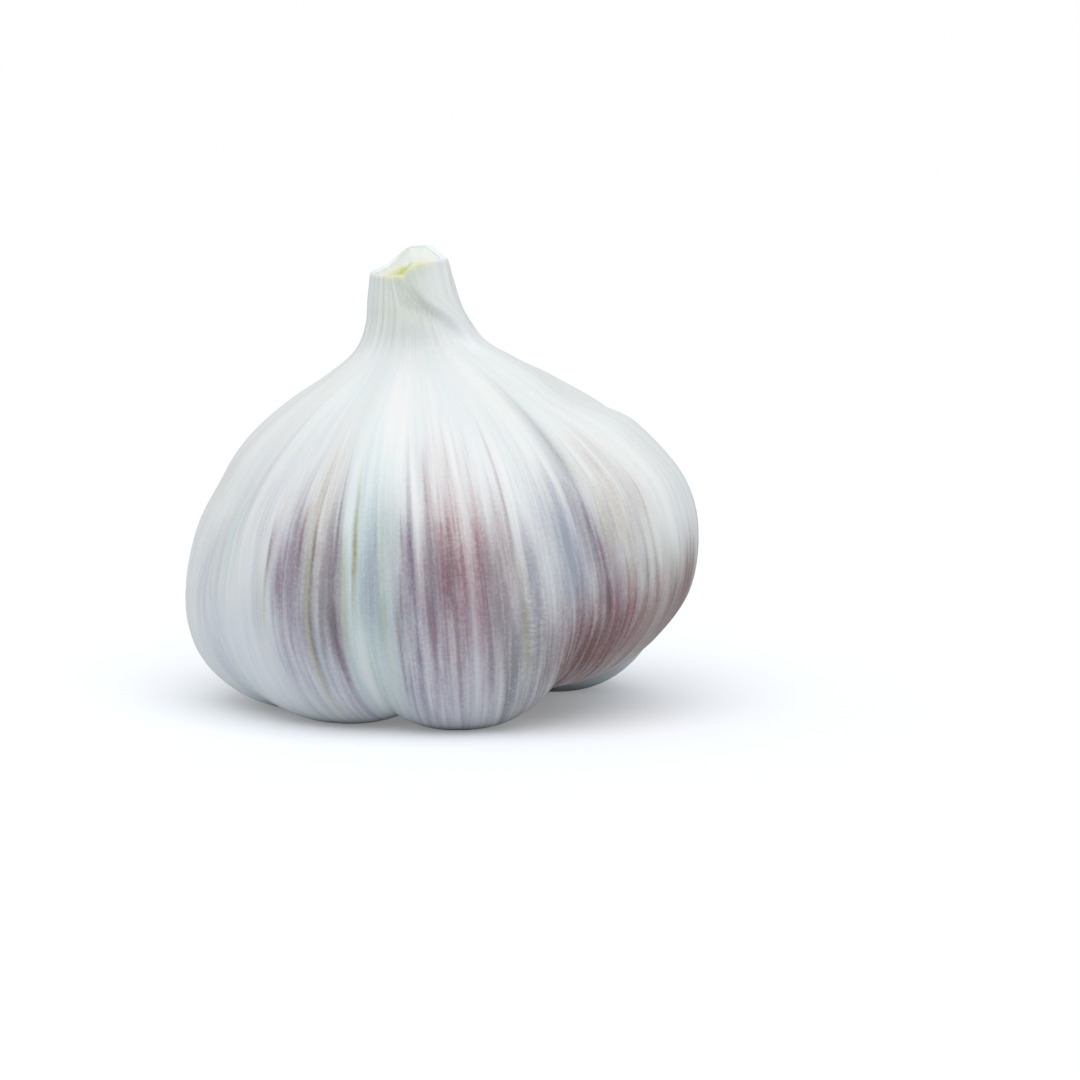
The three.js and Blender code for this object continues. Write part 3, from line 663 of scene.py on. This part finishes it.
def skin_material(settings):
    """Dry garlic leaf: matt white paper with fine upright veins, streaked by the pigment in it and by
    painted shade and light.
    """
    material, tree = new_material("dry_garlic_leaf")
    way = add(tree, "Attribute", attribute_name="leaf_way").outputs["Vector"]
    place = add(tree, "TexCoord").outputs["Object"]
    leaf_state = add(tree, "Attribute", attribute_name="leaf_state").outputs["Vector"]
    crinkled, veiny, _ = add(tree, "SeparateXYZ", {"Vector": leaf_state}).outputs

    # Waves in the belly's radius of 28 mm, and in the 74 mm from foot to cut: the veins are 0.37, 1.1, 4
    # and 1.9 mm apart, and change along the leaf in 9, 15, 34 and 7 mm
    veins = []
    for across, along in ((76, 8), (26, 5), (7, 2.2), (15, 11)):
        stretched = add(tree, "Mapping", {"Vector": way, "Scale": (across, across, along)}).outputs[0]
        vein = add(tree, "TexNoise", {"Vector": stretched, "Scale": 1.0, "Detail": 2.0}).outputs[0]
        veins.append(vein)
    fine, middle, broad, patchy = veins
    # The leaf's own grain, 0.35 mm
    grain = add(tree, "TexNoise", {"Vector": place, "Scale": 1 / (0.35 * MM), "Detail": 2.0}).outputs[0]

    # The pigment and the painted shade and light are uneven: they follow the veins, the grain of the
    # leaf and broad patches
    mixed = add(tree, "Math", {0: fine, 1: middle}, operation="ADD").outputs[0]
    gain = add(tree, "MapRange", {
        "Value": mixed, "From Min": 0.75, "From Max": 1.25, "To Min": 0.66, "To Max": 1.22,
    }).outputs[0]
    speckle = add(tree, "MapRange", {
        "Value": grain, "From Min": 0.3, "From Max": 0.7, "To Min": 0.8, "To Max": 1.16,
    }).outputs[0]
    gain = add(tree, "Math", {0: gain, 1: speckle}, operation="MULTIPLY").outputs[0]
    patches = add(tree, "MapRange", {
        "Value": patchy, "From Min": 0.35, "From Max": 0.65, "To Min": 0.78, "To Max": 1.2,
    }).outputs[0]
    gain = add(tree, "Math", {0: gain, 1: patches}, operation="MULTIPLY").outputs[0]
    gain = add(tree, "Mix", {"Factor": veiny, NUMBER_A: 1.0, NUMBER_B: gain}).outputs[0]

    coolness = add(tree, "MapRange", {"Value": broad, "From Min": 0.35, "From Max": 0.65}).outputs[0]
    veined = add(tree, "MapRange", {
        "Value": fine, "From Min": 0.48, "From Max": 0.75, "To Max": 0.36,
    }).outputs[0]
    veined = add(tree, "Math", {0: veined, 1: veiny}, operation="MULTIPLY").outputs[0]
    layers = [(settings.cool, coolness), (settings.vein, veined)]
    for name, tints in TINT_SETS.items():
        masks = add(tree, "Attribute", attribute_name=name).outputs["Vector"]
        for tint, mask in zip(tints, add(tree, "SeparateXYZ", {"Vector": masks}).outputs):
            amount = add(tree, "Math", {0: mask, 1: gain}, operation="MULTIPLY", use_clamp=True)
            layers.append((getattr(settings, tint), amount.outputs[0]))

    # Crinkles are thin lines where a flattened noise, 1.5 mm wide and 0.8 mm tall, crosses its middle
    flattened = add(tree, "Mapping", {
        "Vector": place, "Scale": (1 / (1.5 * MM), 1 / (1.5 * MM), 1 / (0.8 * MM)),
    }).outputs[0]
    wavy = add(tree, "TexNoise", {"Vector": flattened, "Scale": 1.0, "Detail": 1.5}).outputs[0]
    off_middle = add(tree, "Math", {0: wavy, 1: 0.5}, operation="SUBTRACT").outputs[0]
    off_middle = add(tree, "Math", {0: off_middle}, operation="ABSOLUTE").outputs[0]
    line = add(tree, "MapRange", {
        "Value": off_middle, "From Max": 0.10, "To Min": 1.0, "To Max": 0.0,
    }).outputs[0]
    line = add(tree, "Math", {0: line, 1: crinkled}, operation="MULTIPLY").outputs[0]
    shade = add(tree, "Math", {0: line, 1: 0.55}, operation="MULTIPLY").outputs[0]
    layers.append((settings.grey, shade))

    colour_so_far = add(tree, "RGB").outputs[0]
    colour_so_far.default_value = settings.paper
    for tint, amount in layers:
        colour_so_far = add(tree, "Mix", {
            "Factor": amount, COLOUR_A: colour_so_far, COLOUR_B: tint,
        }, data_type="RGBA").outputs[COLOUR_OUT]

    rough = add(tree, "MapRange", {
        "Value": fine, "From Min": 0.3, "From Max": 0.7, "To Min": 0.38, "To Max": 0.54,
    }).outputs[0]
    surface = add(tree, "Math", {0: mixed, 1: grain}, operation="ADD").outputs[0]
    surface = add(tree, "Math", {0: surface, 1: veiny}, operation="MULTIPLY").outputs[0]
    deep = add(tree, "Math", {0: line, 1: 2.0}, operation="MULTIPLY").outputs[0]
    surface = add(tree, "Math", {0: surface, 1: deep}, operation="SUBTRACT").outputs[0]
    bump = add(tree, "Bump", {"Height": surface, "Strength": 0.35, "Distance": 0.08 * MM}).outputs[0]
    shader = add(tree, "BsdfPrincipled", {
        "Base Color": colour_so_far, "Roughness": rough, "Normal": bump,
        "IOR": 1.45, "Subsurface Weight": 0.12, "Subsurface Scale": 1.5 * MM,
    })
    add(tree, "OutputMaterial", {"Surface": shader.outputs[0]})
    return material


class GARLIC_OT_skin(bpy.types.Operator):
    """Make the dry outer leaves, from the root hollow up to the cut neck"""
    bl_idname = "garlic.skin"
    bl_label = "Papery skin"

    def execute(self, context):
        settings = context.scene.garlic_skin
        piece, angle, ring = ball(settings.segments, settings.rings)
        mesh = piece.data
        # The columns stand closer together in front, where the finest lines are
        angle = angle - np.degrees(FRONT_DENSER * np.sin(np.radians(angle)))

        # From the foot up: the hollow's roof, the skin, the leaves where they are cut, and the cup
        edge_in = (0.05, 0.14, 0.18, 0.22, 0.34, 0.38, 0.42, 0.55, 0.62, WALL, WALL, WALL)
        edge_drop = (-0.05, 0.0, 0.1, 0.0, 0.02, 0.14, 0.02, 0.04, 0.07, 0.12, 1.2, CUP)
        skin_rings = settings.rings - 2 - len(edge_in)
        along = np.r_[0, 0, np.linspace(0, 1, skin_rings), np.ones(len(edge_in)), 1]
        inset = np.r_[0, 0, np.zeros(skin_rings), edge_in, 0]
        drop = np.r_[0, 0, np.zeros(skin_rings), edge_drop, 0]

        height = outline_at(along)[1][ring]
        extra = fine_relief(settings, angle, height)
        points = skin_point(angle, along[ring], extra)
        reach = np.hypot(points[:, 0], points[:, 1])
        points[:, :2] *= ((reach - inset[ring]) / reach)[:, None]
        points[:, 2] -= drop[ring]
        points[ring == 1, 2] = HOLLOW_ROOF
        points[ring == 0] = (0, 0, HOLLOW_ROOF)
        points[ring == settings.rings] = (0, 0, CUT_TOP + CUT_MIDDLE - CUP)
        move_vertices(mesh, placed(points))

        turn = np.radians(leaf_turn(angle, height))
        store(mesh, "leaf_way", (np.cos(turn), np.sin(turn), along[ring]))
        amounts = tint_amounts(angle, height)
        for name, tints in TINT_SETS.items():
            store(mesh, name, [amounts[tint] for tint in tints])
        # The shoulder is plainer than the belly, and the neck is a little veined again
        veiny = 1 - 0.75 * smooth(22, 35, height) + 0.4 * smooth(42, 46, height)
        veiny = veiny * (1 - spot(angle, height, PLAIN_SPOT))
        crinkled = sum(spot(angle, height, place) for place in CRINKLES)
        store(mesh, "leaf_state", (crinkled, veiny))
        finish_piece(piece, "papery_skin", "wrapped_bulb", skin_material(settings))
        return {"FINISHED"}


def stalk_material(settings):
    """Cut leaf sheaths of the stalk: soft white, a little yellow green where the front is hollow."""
    material, tree = new_material("cut_garlic_stalk")
    face = add(tree, "Attribute", attribute_name="face").outputs["Vector"]
    hollow = add(tree, "SeparateXYZ", {"Vector": face}).outputs[0]
    place = add(tree, "TexCoord").outputs["Object"]
    # Fibres of the sheaths, 0.25 mm thick
    fibre = add(tree, "TexNoise", {"Vector": place, "Scale": 1 / (0.25 * MM), "Detail": 3.0}).outputs[0]
    patch = add(tree, "MapRange", {
        "Value": fibre, "From Min": 0.3, "From Max": 0.7, "To Min": 0.6, "To Max": 1.1,
    }).outputs[0]
    green = add(tree, "Math", {0: hollow, 1: patch}, operation="MULTIPLY", use_clamp=True).outputs[0]
    mixed = add(tree, "Mix", {
        "Factor": green, COLOUR_A: settings.flesh, COLOUR_B: settings.green,
    }, data_type="RGBA").outputs[COLOUR_OUT]
    bump = add(tree, "Bump", {"Height": fibre, "Strength": 0.3, "Distance": 0.08 * MM}).outputs[0]
    shader = add(tree, "BsdfPrincipled", {
        "Base Color": mixed, "Roughness": 0.5, "Normal": bump,
        "Subsurface Weight": 0.2, "Subsurface Scale": 1.0 * MM,
    })
    add(tree, "OutputMaterial", {"Surface": shader.outputs[0]})
    return material


class GARLIC_OT_stalk(bpy.types.Operator):
    """Make the inner stalk, cut with the leaves round it"""
    bl_idname = "garlic.stalk"
    bl_label = "Cut stalk"

    def execute(self, context):
        settings = context.scene.garlic_stalk
        piece, angle, ring = ball(STALK_SIDES, STALK_RINGS)
        mesh = piece.data

        # Ring 0 is the middle of the bottom, ring 2 the foot of the side, ring 4 its top, then the face
        foot_ring, middle_ring, top_ring = 2, 3, 4
        past_top = (STALK_RINGS - ring) / (STALK_RINGS - top_ring)
        share = np.where(ring <= top_ring, np.minimum(ring / foot_ring, 1), past_top)
        cut_level = np.full_like(angle, CUT_TOP)
        relief = fine_relief(context.scene.garlic_skin, angle, cut_level)
        points = skin_point(angle, np.ones_like(angle), relief)
        rim_height = points[:, 2].copy()
        reach = np.hypot(points[:, 0], points[:, 1])
        points[:, :2] *= ((reach - WALL - STALK_GAP) / reach * share)[:, None]
        middle_height = CUT_TOP + CUT_MIDDLE
        face = middle_height + (rim_height - middle_height) * share ** 1.5
        front = np.exp(-((wrap(angle + 25) / 22) ** 2)) * smooth(0.25, 0.5, share)
        groove = sum(np.exp(-((share - at) / 0.022) ** 2) for at in (0.36, 0.62, 0.84))
        crown = 0.12 * np.cos(share * math.pi / 2) - 0.1
        top = face + crown - settings.dish / MM * front - settings.groove / MM * groove
        bottom = middle_height - CUP + 0.3
        side = np.where(ring == middle_ring, (bottom + top) / 2, top)
        points[:, 2] = np.where(ring <= foot_ring, bottom, side)
        move_vertices(mesh, placed(points))
        store(mesh, "face", (front * (ring >= top_ring),))
        finish_piece(piece, "cut_stalk", "neck_core", stalk_material(settings))
        return {"FINISHED"}


def root_material(settings):
    """Dry root plate and roots: corky, matt, tan with darker dirt in the pores."""
    material, tree = new_material("dry_garlic_root")
    place = add(tree, "TexCoord").outputs["Object"]
    # Pores of the cork, 0.9 mm apart
    pore = add(tree, "TexNoise", {"Vector": place, "Scale": 1 / (0.9 * MM), "Detail": 4.0}).outputs[0]
    amount = add(tree, "MapRange", {"Value": pore, "From Min": 0.38, "From Max": 0.62}).outputs[0]
    mixed = add(tree, "Mix", {
        "Factor": amount, COLOUR_A: settings.cork, COLOUR_B: settings.root,
    }, data_type="RGBA").outputs[COLOUR_OUT]
    bump = add(tree, "Bump", {"Height": pore, "Strength": 0.6, "Distance": 0.3 * MM}).outputs[0]
    shader = add(tree, "BsdfPrincipled", {"Base Color": mixed, "Roughness": 0.85, "Normal": bump})
    add(tree, "OutputMaterial", {"Surface": shader.outputs[0]})
    return material


def dice(seed):
    """Always the same row of numbers from 0 to 1, which places the roots as in the frame."""
    state = seed
    while True:
        state = (state * 1664525 + 1013904223) % 4294967296
        yield state / 4294967296


def root_paths():
    """Start, bend and end of each cut root on the upright bulb, in mm."""
    draw = dice(ROOT_SEED)
    for radius, count in ROOT_RINGS:
        for i in range(count):
            turn = 2 * math.pi * (i + 0.5 * (next(draw) - 0.5)) / count
            reach = radius + 0.5 * (next(draw) - 0.5)
            out = np.array([math.cos(turn), math.sin(turn) * DEPTH, 0])
            side = np.array([-out[1], out[0], 0])
            size = ROOT_SHORTEST + (ROOT_LONGEST - ROOT_SHORTEST) * next(draw)
            splay = ROOT_SPLAY * (reach / PLATE_RADIUS) + 0.25 * (next(draw) - 0.5)
            twist = 0.5 * (next(draw) - 0.5)
            start = out * reach + (0, 0, PLATE_MIDDLE + 1.2)
            bend = start + out * splay * 0.4
            bend[2] = PLATE_MIDDLE - size * 0.35
            end = start + out * splay * size + side * twist * size
            end[2] = PLATE_MIDDLE - size
            yield start, bend, end


def root_plate():
    """The corky plate, domed a little and bumpy below, with its side sunk in the skin's hollow."""
    plate, angle, ring = ball(PLATE_SIDES, PLATE_RINGS)
    turn = np.radians(angle - 90)
    past_rim = (PLATE_RINGS - ring) / (PLATE_RINGS - PLATE_RIM_RING)
    share = np.where(ring <= PLATE_RIM_RING, ring / PLATE_RIM_RING, past_rim)
    share = np.clip(share * 1.05, 0, 1)
    bumps = 0.12 * np.sin(share * 34) * np.sin(turn * 11) + 0.1 * np.sin(turn * 5 + share * 9)
    bottom = PLATE_MIDDLE + (PLATE_RIM - PLATE_MIDDLE) * share ** 3 + bumps * (1 - share ** 6)
    lift = np.clip((ring - PLATE_RIM_RING) / 3, 0, 1)
    top = HOLLOW_ROOF - 0.3
    height = np.where(ring <= PLATE_RIM_RING, bottom, bottom + (top - bottom) * lift)
    radius = PLATE_RADIUS * share
    points = np.stack([radius * np.cos(turn), radius * np.sin(turn) * DEPTH, height], -1)
    move_vertices(plate.data, placed(points))
    return plate


def cut_root(settings, start, bend, end):
    """One trimmed root, round a curve that runs from its start to its cut end."""
    root, angle, ring = ball(ROOT_SIDES, ROOT_STEPS + 2)
    turn = np.radians(angle)
    along = 1 - np.clip((ring - 1) / ROOT_STEPS, 0, 1)
    a = along[:, None]
    centre = (1 - a) ** 2 * start + 2 * a * (1 - a) * bend + a ** 2 * end
    way = 2 * (1 - a) * (bend - start) + 2 * a * (end - bend)
    way /= np.linalg.norm(way, axis=1)[:, None]
    u = np.cross(way, (0, 1, 0.01))
    u /= np.linalg.norm(u, axis=1)[:, None]
    v = np.cross(u, way)
    inside = (ring > 0) & (ring < ROOT_STEPS + 2)
    thick = (settings.thick + (settings.thin - settings.thick) * along) / MM * inside
    thick = thick * (1 + 0.12 * np.sin(turn * 3 + along * 7))
    round_it = u * np.cos(turn)[:, None] + v * np.sin(turn)[:, None]
    move_vertices(root.data, placed(centre + round_it * thick[:, None]))


class GARLIC_OT_roots(bpy.types.Operator):
    """Make the root plate with its trimmed roots"""
    bl_idname = "garlic.roots"
    bl_label = "Root plate and roots"

    def execute(self, context):
        settings = context.scene.garlic_root
        plate = root_plate()
        for path in root_paths():
            cut_root(settings, *path)
            plate.select_set(True)
            context.view_layer.objects.active = plate
            bpy.ops.object.join()
        bpy.ops.object.mode_set(mode="EDIT")
        bpy.ops.mesh.select_all(action="SELECT")
        bpy.ops.mesh.normals_make_consistent(inside=False)
        bpy.ops.object.mode_set(mode="OBJECT")
        finish_piece(plate, "root_plate_and_roots", "root_plate", root_material(settings))
        return {"FINISHED"}


def stage_material(settings):
    """Matt pale board, lit from below like a light table, so it looks white with faint shadows."""
    material, tree = new_material("matt_light_table")
    direct = add(tree, "LightPath").outputs["Is Camera Ray"]
    glow = add(tree, "MapRange", {"Value": direct, "To Max": settings.glow}).outputs[0]
    shader = add(tree, "BsdfPrincipled", {
        "Base Color": settings.floor, "Roughness": 0.9, "Specular IOR Level": 0.1,
        "Emission Color": (1, 1, 1, 1), "Emission Strength": glow,
    })
    add(tree, "OutputMaterial", {"Surface": shader.outputs[0]})
    return material


class GARLIC_OT_stage(bpy.types.Operator):
    """Make the floor, the lights, the surround and the camera"""
    bl_idname = "garlic.stage"
    bl_label = "Stage"

    def execute(self, context):
        settings = context.scene.garlic_stage
        deselect_all()
        bpy.ops.mesh.primitive_plane_add(size=FLOOR_SIDE, location=(0, 0, 0))
        floor = context.object
        floor.name = "floor"
        floor.data.materials.append(stage_material(settings))

        bpy.ops.object.light_add(type="SUN", location=KEY_FROM)
        lamp = context.object
        lamp.name = "wide_light_above"
        lamp.data.energy = settings.key
        lamp.data.angle = settings.key_width
        lamp.rotation_mode = "QUATERNION"
        lamp.rotation_quaternion = lamp.location.to_track_quat("Z", "Y")

        # The surround is seen as plain white and lights the bulb a little less than that
        world = context.scene.world or bpy.data.worlds.new("surround")
        context.scene.world = world
        world.use_nodes = True
        tree = world.node_tree
        tree.nodes.clear()
        direct = add(tree, "LightPath").outputs["Is Camera Ray"]
        seen = add(tree, "MapRange", {"Value": direct, "To Min": settings.surround}).outputs[0]
        glow = add(tree, "Background", {"Color": settings.sky, "Strength": seen})
        add(tree, "OutputWorld", {"Surface": glow.outputs[0]})
        context.scene.view_settings.view_transform = "Standard"

        e = math.radians(CAMERA_ELEVATION_DEG)
        back = np.array([0, -math.cos(e), math.sin(e)])
        up = np.array([0, math.sin(e), math.cos(e)])
        aside = (PHOTO_SIDE / 2 - BULB_MIDDLE_PX) * MM_PER_PX * MM
        aim_px = SURFACE_PX - AIM_HEIGHT * math.cos(e) / MM_PER_PX
        below = (PHOTO_SIDE / 2 - aim_px) * MM_PER_PX * MM
        place = np.array([aside, 0, AIM_HEIGHT * MM]) + back * CAMERA_DISTANCE - up * below
        bpy.ops.object.camera_add(location=place, rotation=(math.pi / 2 - e, 0, 0))
        camera = context.object
        camera.name = "camera"
        camera.data.sensor_width = SENSOR
        camera.data.lens = SENSOR * CAMERA_DISTANCE / (PHOTO_SIDE * MM_PER_PX * MM)
        camera.data.clip_start = 0.01
        context.scene.camera = camera
        return {"FINISHED"}


STEPS = (GARLIC_OT_skin, GARLIC_OT_stalk, GARLIC_OT_roots, GARLIC_OT_stage)
GROUPS = {
    "garlic_skin": GarlicSkinSettings, "garlic_stalk": GarlicStalkSettings,
    "garlic_root": GarlicRootSettings, "garlic_stage": GarlicStageSettings,
}


class GARLIC_PT_panel(bpy.types.Panel):
    """The garlic bulb's steps and settings"""
    bl_idname = "GARLIC_PT_panel"
    bl_label = "Garlic bulb"
    bl_space_type = "VIEW_3D"
    bl_region_type = "UI"
    bl_category = "Garlic"

    def draw(self, context):
        for step, group in zip(STEPS, GROUPS):
            box = self.layout.box()
            box.operator(step.bl_idname)
            settings = getattr(context.scene, group)
            for name in settings.bl_rna.properties.keys():
                if name not in ("rna_type", "name"):
                    box.prop(settings, name)


def register():
    for item in (*GROUPS.values(), *STEPS, GARLIC_PT_panel):
        bpy.utils.register_class(item)
    for name, group in GROUPS.items():
        setattr(bpy.types.Scene, name, bpy.props.PointerProperty(type=group))


def unregister():
    for name in GROUPS:
        delattr(bpy.types.Scene, name)
    for item in reversed((*GROUPS.values(), *STEPS, GARLIC_PT_panel)):
        bpy.utils.unregister_class(item)


def main():
    register()
    bpy.ops.garlic.skin()
    bpy.ops.garlic.stalk()
    bpy.ops.garlic.roots()
    bpy.ops.garlic.stage()


if __name__ == "__main__":
    main()
